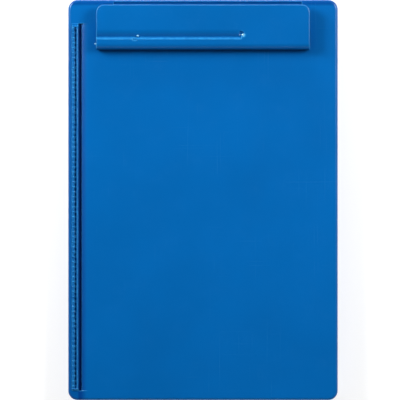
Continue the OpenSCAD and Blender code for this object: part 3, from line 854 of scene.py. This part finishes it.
@dataclass
class TorsionSpring:
    """One of the two torsion springs that press the clip's jaw on the board.

    Each of the leg steps is a share of the leg's length, and the wire's width at its end against the
    width before it. The stiff ends, the parts of the coil in wire radii that don't twist, are not used.
    """

    side: Side
    wire: float = 0.0005
    coil: float = 0.00235
    pitch: float = 0.0015
    turns: int = 8
    lower_lean: float = 42.0
    upper_lean: float = 26.0
    lower_leg: float = 0.00799
    upper_leg: float = 0.01303
    sides: int = 12
    steps_per_turn: int = 24
    leg_steps: tuple[Pair, ...] = ((0.97, 1.0), (0.02, 0.85), (0.01, 0.55))
    stiff_ends: float = 1.3

    @property
    def start(self) -> float:
        """The angle at which the coil leaves its lower leg."""
        return math.radians(90.0 - self.lower_lean)

    @property
    def sweep(self) -> float:
        """The angle that the coil turns through."""
        return math.radians(self.upper_lean - 90.0 + 360.0 * self.turns) - self.start

    def build(self, material: Material, axis: Vector) -> Object:
        """Wind the coil and draw both legs.

        Args:
            material: the wire's material.
            axis: a point on the clip's pivot axis.

        Returns:
            The spring, baked in place on no body.
        """
        length = self.pitch * self.sweep / math.tau
        bm = bmesh.new()
        first, last = self.wind(bm)
        self.leg(bm, first, self.start, -self.lower_leg)
        self.leg(bm, last, self.start + self.sweep, self.upper_leg)
        middle = Vector((self.side.value * self.distance(), axis.y, axis.z))
        bmesh.ops.translate(bm, verts=bm.verts, vec=middle - Vector((length / 2, 0.0, 0.0)))
        spring = piece(bm, f"spring_wire_{self.side.word}", material, 50.0)
        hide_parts(f"clip_spring_{self.side.word}")
        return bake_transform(spring)

    def distance(self) -> float:
        """Distance of the spring from the middle of the clip."""
        low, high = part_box(f"clip_spring_{self.side.word}")
        return abs(low.x + high.x) / 2

    def wind(self, bm: BMesh) -> tuple[list, list]:
        """Carry the wire's section round the coil.

        Args:
            bm: the shape.

        Returns:
            The edges of the first ring and of the last.
        """
        circle = bmesh.ops.create_circle(bm, cap_ends=False, segments=self.sides, radius=self.wire)
        ring = circle["verts"]
        across = Vector((0.0, -math.sin(self.start), math.cos(self.start)))
        turn = Vector((0.0, 0.0, 1.0)).rotation_difference(across).to_matrix()
        bmesh.ops.rotate(bm, verts=ring, cent=(0.0, 0.0, 0.0), matrix=turn)
        centre = Vector((0.0, self.coil * math.cos(self.start), self.coil * math.sin(self.start)))
        bmesh.ops.translate(bm, verts=ring, vec=centre)
        first = list(bm.edges)
        steps = round(self.steps_per_turn * self.sweep / math.tau)
        wound = bmesh.ops.spin(
            bm,
            geom=[*ring, *first],
            cent=(0.0, 0.0, 0.0),
            axis=(1.0, 0.0, 0.0),
            dvec=(self.pitch * self.sweep / math.tau / steps, 0.0, 0.0),
            angle=self.sweep,
            steps=steps,
            use_merge=False,
        )
        return first, [part for part in wound["geom_last"] if isinstance(part, bmesh.types.BMEdge)]

    def leg(self, bm: BMesh, ring: list, angle: float, reach: float) -> None:
        """Draw the wire straight on from one end of the coil, and round its tip.

        Args:
            bm: the shape.
            ring: the edges of the coil's end.
            angle: the coil's angle there.
            reach: the leg's length, negative against the winding.
        """
        along = Vector((0.0, -math.sin(angle), math.cos(angle)))
        for share, width in self.leg_steps:
            grown = bmesh.ops.extrude_edge_only(bm, edges=ring)["geom"]
            verts = [part for part in grown if isinstance(part, bmesh.types.BMVert)]
            ring = [part for part in grown if isinstance(part, bmesh.types.BMEdge)]
            bmesh.ops.translate(bm, verts=verts, vec=along * (reach * share))
            centre = sum((vert.co for vert in verts), Vector()) / len(verts)
            shrink = Matrix.Translation(centre) @ Matrix.Scale(width, 4) @ Matrix.Translation(-centre)
            bmesh.ops.transform(bm, matrix=shrink, verts=verts)
        bmesh.ops.edgeloop_fill(bm, edges=ring)


@dataclass
class PushRing:
    """One of the toothed push-on rings that keep the clip's pivot pin in place."""

    side: Side
    outer: float = 0.0031
    bore: float = 0.0015
    slot_depth: float = 0.0006
    sheet: float = 0.0004
    dish: float = 0.0003
    segments: int = 48
    tooth_pitch: int = 8
    tooth_gap: int = 2
    band_share: float = 1.4
    edge_share: float = 0.2

    def build(self, material: Material) -> Object:
        """Stamp the ring.

        Args:
            material: the steel.

        Returns:
            The ring.
        """
        low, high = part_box(f"pivot_retainer_{self.side.word}")
        bm = bmesh.new()
        rim = self.circle(bm, self.outer)
        band = self.circle(bm, self.bore + self.band_share * self.slot_depth)
        teeth = self.circle(bm, self.bore)
        for number, vert in enumerate(teeth):
            vert.co.z = self.dish
            if number % self.tooth_pitch < self.tooth_gap:
                vert.co *= (self.bore + self.slot_depth) / self.bore
                vert.co.z = self.dish / 2
        for pair in ((rim, band), (band, teeth)):
            verts = {vert for circle in pair for vert in circle}
            loops = [
                edge
                for edge in bm.edges
                if (edge.is_wire or edge.is_boundary) and verts.issuperset(edge.verts)
            ]
            bmesh.ops.bridge_loops(bm, edges=loops)
        bmesh.ops.recalc_face_normals(bm, faces=bm.faces)
        bmesh.ops.solidify(bm, geom=bm.faces[:], thickness=self.sheet)
        round_edges(bm, self.sheet * self.edge_share)
        turn = Matrix.Rotation(math.radians(90.0 * self.side.value), 3, "Y")
        bmesh.ops.rotate(bm, verts=bm.verts, cent=(0.0, 0.0, 0.0), matrix=turn)
        middle = (low + high) / 2
        depths = [vert.co.x for vert in bm.verts]
        shape = Vector((max(depths) + min(depths), 0.0, 0.0)) / 2
        bmesh.ops.translate(bm, verts=bm.verts, vec=middle - shape)
        ring = piece(bm, f"push_ring_{self.side.word}", material)
        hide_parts(f"pivot_retainer_{self.side.word}")
        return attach(ring, Body.BOARD.value)

    def circle(self, bm: BMesh, radius: float) -> list:
        """Add one of the ring's circles, and give its vertices."""
        made = bmesh.ops.create_circle(bm, cap_ends=False, segments=self.segments, radius=radius)
        return made["verts"]


@dataclass
class JawPad:
    """The rubber strip under the clip's front wall, keyed into its foot and grooved where it grips."""

    thickness: float = 0.0016
    key_width: float = 0.0012
    grooves: int = 3
    groove_depth: float = 0.0003
    groove_wall: float = 0.12
    edge: float = 0.00015
    edge_steep: float = 60.0

    def build(self, material: Material) -> Object:
        """Model the strip.

        Args:
            material: the rubber.

        Returns:
            The strip.
        """
        low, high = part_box("jaw_pad")
        size = Vector((high.x - low.x, high.y - low.y, self.thickness))
        middle = Vector(((low.x + high.x) / 2, (low.y + high.y) / 2, low.z + self.thickness / 2))
        bm = bmesh.new()
        bmesh.ops.create_cube(bm, size=1.0)
        bmesh.ops.scale(bm, vec=size, verts=bm.verts)
        bmesh.ops.translate(bm, vec=middle, verts=bm.verts)
        self.cut(bm, [middle.y - self.key_width / 2, middle.y + self.key_width / 2])
        strips = 2 * self.grooves + 1
        self.cut(bm, [low.y + size.y * number / strips for number in range(1, strips)])
        self.key(bm, middle.y, low.z + self.thickness, high.z)
        self.groove(bm, low, size.y / strips)
        round_edges(bm, self.edge, self.edge_steep)
        pad = piece(bm, "grip_pad", material)
        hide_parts("jaw_pad")
        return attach(pad, Body.CLIP.value)

    def cut(self, bm: BMesh, rows: list[float]) -> None:
        """Split the strip lengthways.

        Args:
            bm: the shape.
            rows: the places across it.
        """
        for y in rows:
            bmesh.ops.bisect_plane(
                bm,
                geom=[*bm.verts, *bm.edges, *bm.faces],
                dist=1e-8,
                plane_co=(0.0, y, 0.0),
                plane_no=(0.0, 1.0, 0.0),
            )

    def key(self, bm: BMesh, y: float, face_z: float, top_z: float) -> None:
        """Raise the rib that sits in the groove of the clip's foot.

        Args:
            bm: the shape.
            y: the rib's middle.
            face_z: the height of the strip's upper face.
            top_z: the height of the rib's top.
        """
        half = self.key_width / 2
        faces = [
            face
            for face in bm.faces
            if face.normal.z > LEVEL_FACE
            and abs(face.calc_center_median().y - y) < half
            and abs(face.calc_center_median().z - face_z) < 1e-6
        ]
        grown = bmesh.ops.extrude_face_region(bm, geom=faces)["geom"]
        verts = [part for part in grown if isinstance(part, bmesh.types.BMVert)]
        bmesh.ops.translate(bm, verts=verts, vec=(0.0, 0.0, top_z - face_z))

    def groove(self, bm: BMesh, low: Vector, strip: float) -> None:
        """Sink the grip grooves into the underside.

        Args:
            bm: the shape.
            low: the strip's lowest corner.
            strip: the width of one groove or land.
        """
        bm.faces.ensure_lookup_table()
        for number in range(self.grooves):
            start = low.y + (2 * number + 1) * strip
            faces = [
                face
                for face in bm.faces
                if face.normal.z < -LEVEL_FACE
                and start < face.calc_center_median().y < start + strip
            ]
            wall = strip * self.groove_wall
            bmesh.ops.inset_region(bm, faces=faces, thickness=wall, depth=-self.groove_depth)


@dataclass
class PolishedPin:
    """The domed end of a steel pin that is pressed into the clip."""

    name: str
    tip: Triple
    facing: Triple
    radius: float
    length: float
    dome: float = 0.42
    dome_angle: float = 84.0
    land: float = 0.06
    rings: int = 6
    segments: int = 32

    def build(self, material: Material) -> Object:
        """Turn the pin's end from its profile.

        Args:
            material: the steel.

        Returns:
            The pin's end.
        """
        bm = bmesh.new()
        outline = []
        for number in range(self.rings + 1):
            turn = math.radians(self.dome_angle) * number / self.rings
            sunk = self.radius * self.dome * (math.cos(turn) - 1.0)
            outline.append((self.radius * math.sin(turn), sunk))
        outline.append((self.radius, outline[-1][1] - self.land * self.radius))
        outline.append((self.radius, -self.length))
        line = [bm.verts.new((across, 0.0, height)) for across, height in outline]
        edges = [bm.edges.new(pair) for pair in zip(line, line[1:])]
        bmesh.ops.spin(
            bm,
            geom=[*line, *edges],
            cent=(0.0, 0.0, 0.0),
            axis=(0.0, 0.0, 1.0),
            angle=math.tau,
            steps=self.segments,
            use_merge=True,
        )
        bmesh.ops.remove_doubles(bm, verts=bm.verts, dist=WELD)
        bmesh.ops.edgeloop_fill(bm, edges=[edge for edge in bm.edges if edge.is_boundary])
        turn = Vector((0.0, 0.0, 1.0)).rotation_difference(Vector(self.facing)).to_matrix()
        bmesh.ops.rotate(bm, verts=bm.verts, cent=(0.0, 0.0, 0.0), matrix=turn)
        bmesh.ops.translate(bm, verts=bm.verts, vec=self.tip)
        pin = piece(bm, self.name, material, 50.0)
        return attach(pin, Body.CLIP.value)


@dataclass
class SprungClip:
    """The clip with its pad, pivot, brackets, rivets, springs and the small pins in its channel."""

    rivets: tuple[str, ...] = (
        "rivet_left_front",
        "rivet_left_rear",
        "rivet_right_front",
        "rivet_right_rear",
    )
    brackets: tuple[str, ...] = ("clip_bracket_left", "clip_bracket_right")
    pins: tuple[PolishedPin, ...] = (
        PolishedPin("channel_pin_right", (0.0360, 0.1466, 0.0369), (0.0, 0.0, 1.0), 0.00155, 0.0019),
        PolishedPin("channel_pin_left", (-0.0579, 0.1459, 0.0364), (0.0, 0.0, 1.0), 0.00085, 0.0018),
        PolishedPin("end_pin", (-0.0965, 0.1387, 0.0335), (-1.0, 0.0, 0.0), 0.0008, 0.0024),
    )

    def build(self) -> None:
        """Dress the solids and model the springs, the rings, the pad and the pins."""
        dress("clip_lever", ClipPlastic("clip_plastic").make())
        bracket = ZincSteel("bracket_steel").make()
        for name in self.brackets:
            dress(name, bracket)
        pivot = ZincSteel("pivot_steel", roughness=0.24, grain=(1.0, 40.0, 40.0))
        dress("clip_pivot_pin", pivot.make())
        rivet = ZincSteel("rivet_steel", roughness=0.26, grain=(8.0, 8.0, 8.0)).make()
        for name in self.rivets:
            dress(name, rivet)
        low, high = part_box("clip_pivot_pin")
        wire = ZincSteel(
            "spring_wire_steel",
            colour=(0.40, 0.41, 0.43),
            tint=(0.44, 0.42, 0.38),
            roughness=0.27,
            grain=(6.0, 24.0, 24.0),
        ).make()
        ring = ZincSteel(
            "ring_steel", colour=(0.46, 0.46, 0.47), roughness=0.32, grain=(8.0, 8.0, 8.0)
        ).make()
        for side in Side:
            TorsionSpring(side).build(wire, (low + high) / 2)
            PushRing(side).build(ring)
        JawPad().build(MattRubber("pad_rubber").make())
        polished = ZincSteel(
            "pin_steel",
            colour=(0.38, 0.80, 1.0),
            tint=(0.35, 0.76, 0.97),
            roughness=0.47,
            grain=(1.0, 1.0, 1.0),
        ).make()
        for pin in self.pins:
            pin.build(polished)


# ---------------------------------------------------------------- studio


@dataclass(frozen=True)
class SoftBox:
    """One soft lamp that faces the box, placed by its bearing from +x and its height above the table.

    A low lamp isn't glossy: seen from the opposite side, its reflection would whiten the writing face.
    """

    name: str
    bearing: float
    height: float
    distance: float
    size: float
    share: float
    glossy: bool = True

    @property
    def place(self) -> Vector:
        """The lamp's middle."""
        turn, lift = math.radians(self.bearing), math.radians(self.height)
        level = Vector((math.cos(turn), math.sin(turn), 0.0)) * math.cos(lift)
        return self.distance * (level + Vector((0.0, 0.0, math.sin(lift))))

    @property
    def power(self) -> float:
        """The watts that give the lamp its share of the light on the writing face."""
        return self.share * (math.pi * self.distance) ** 2 / math.sin(math.radians(self.height))

    def build(self) -> Object:
        """Hang the lamp.

        Returns:
            The lamp.
        """
        lamp = bpy.data.lights.new(self.name, "AREA")
        lamp.shape = "SQUARE"
        lamp.size = self.size
        lamp.energy = self.power
        hung = bpy.data.objects.new(self.name, lamp)
        bpy.context.scene.collection.objects.link(hung)
        hung.visible_camera = False
        hung.visible_glossy = self.glossy
        hung.location = self.place
        hung.rotation_euler = (-self.place).to_track_quat("-Z", "Y").to_euler()
        return hung


@dataclass
class Studio:
    """A pale table top in a soft tent, with the camera straight above the writing face."""

    tent_wall: Pair = (0.45, 0.27)
    tent_roof: Pair = (0.8, 0.02)
    floor_half: float = 9.0
    floor_z: float = -0.0001
    face_z: float = 0.025
    sensor: float = 36.0
    view: Triple = (-0.00267, 0.0, 6.0)
    view_span: float = 0.3561
    view_reach: Pair = (0.1, 50.0)
    lamps: tuple[SoftBox, ...] = (
        SoftBox("lamp_left", 146.0, 34.0, 1.15, 0.43, 0.51),
        SoftBox("lamp_right", 28.0, 42.0, 1.25, 0.43, 0.465),
        SoftBox("lamp_far", 90.0, 12.0, 1.1, 0.28, 0.08, glossy=False),
        SoftBox("lamp_front", 270.0, 14.0, 1.8, 0.5, 0.04, glossy=False),
    )

    def build(self) -> None:
        """Set up the floor, the tent, the lamps, the camera and the view settings."""
        self.floor()
        self.tent()
        for lamp in self.lamps:
            lamp.build()
            LOG.info("%s hung", lamp.name)
        self.camera()
        bpy.context.scene.view_settings.view_transform = "Standard"

    def floor(self) -> Object:
        """Lay the table top.

        Returns:
            The floor.
        """
        bm = bmesh.new()
        bmesh.ops.create_grid(bm, x_segments=2, y_segments=2, size=self.floor_half)
        bmesh.ops.translate(bm, verts=bm.verts, vec=(0.0, 0.0, self.floor_z))
        mesh = bpy.data.meshes.new("floor")
        bm.to_mesh(mesh)
        bm.free()
        mesh.materials.append(PaleFloor().make())
        floor = bpy.data.objects.new("floor", mesh)
        bpy.context.scene.collection.objects.link(floor)
        return floor

    def tent(self) -> None:
        """Surround the table with a tent whose walls are pale and whose top is dim."""
        world = bpy.data.worlds.new("tent")
        bpy.context.scene.world = world
        world.use_nodes = True
        tree = world.node_tree
        tree.nodes.clear()
        add = tree.nodes.new
        direction = add("ShaderNodeTexCoord")
        parts = add("ShaderNodeSeparateXYZ")
        wall = add("ShaderNodeMapRange")
        ray = add("ShaderNodeLightPath")
        light = add("ShaderNodeBackground")
        white = add("ShaderNodeBackground")
        choose = add("ShaderNodeMixShader")
        out = add("ShaderNodeOutputWorld")
        levels = (self.tent_roof[0], self.tent_wall[0], self.tent_roof[1], self.tent_wall[1])
        for number, value in enumerate(levels, 1):
            wall.inputs[number].default_value = value
        white.inputs["Strength"].default_value = 1.0
        join = tree.links.new
        join(direction.outputs["Generated"], parts.inputs[0])
        join(parts.outputs["Z"], wall.inputs[0])
        join(wall.outputs[0], light.inputs["Strength"])
        join(ray.outputs["Is Camera Ray"], choose.inputs[0])
        join(light.outputs[0], choose.inputs[1])
        join(white.outputs[0], choose.inputs[2])
        join(choose.outputs[0], out.inputs[0])

    def camera(self) -> Object:
        """Place the camera above the writing face, with the clip at the top of the picture.

        Returns:
            The camera.
        """
        lens = bpy.data.cameras.new("camera")
        lens.sensor_width = self.sensor
        lens.lens = self.sensor * (self.view[2] - self.face_z) / self.view_span
        lens.clip_start, lens.clip_end = self.view_reach
        camera = bpy.data.objects.new("camera", lens)
        bpy.context.scene.collection.objects.link(camera)
        camera.location = self.view
        bpy.context.scene.camera = camera
        return camera


def main() -> None:
    """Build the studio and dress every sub-assembly."""
    logging.basicConfig(level=logging.INFO, format="%(name)s: %(message)s")
    for part in (Studio(), DocumentTray(), WritingBoard(), SideHinge(), SwingLatch(), SprungClip()):
        part.build()
        LOG.info("%s done", type(part).__name__)


if __name__ == "__main__":
    main()
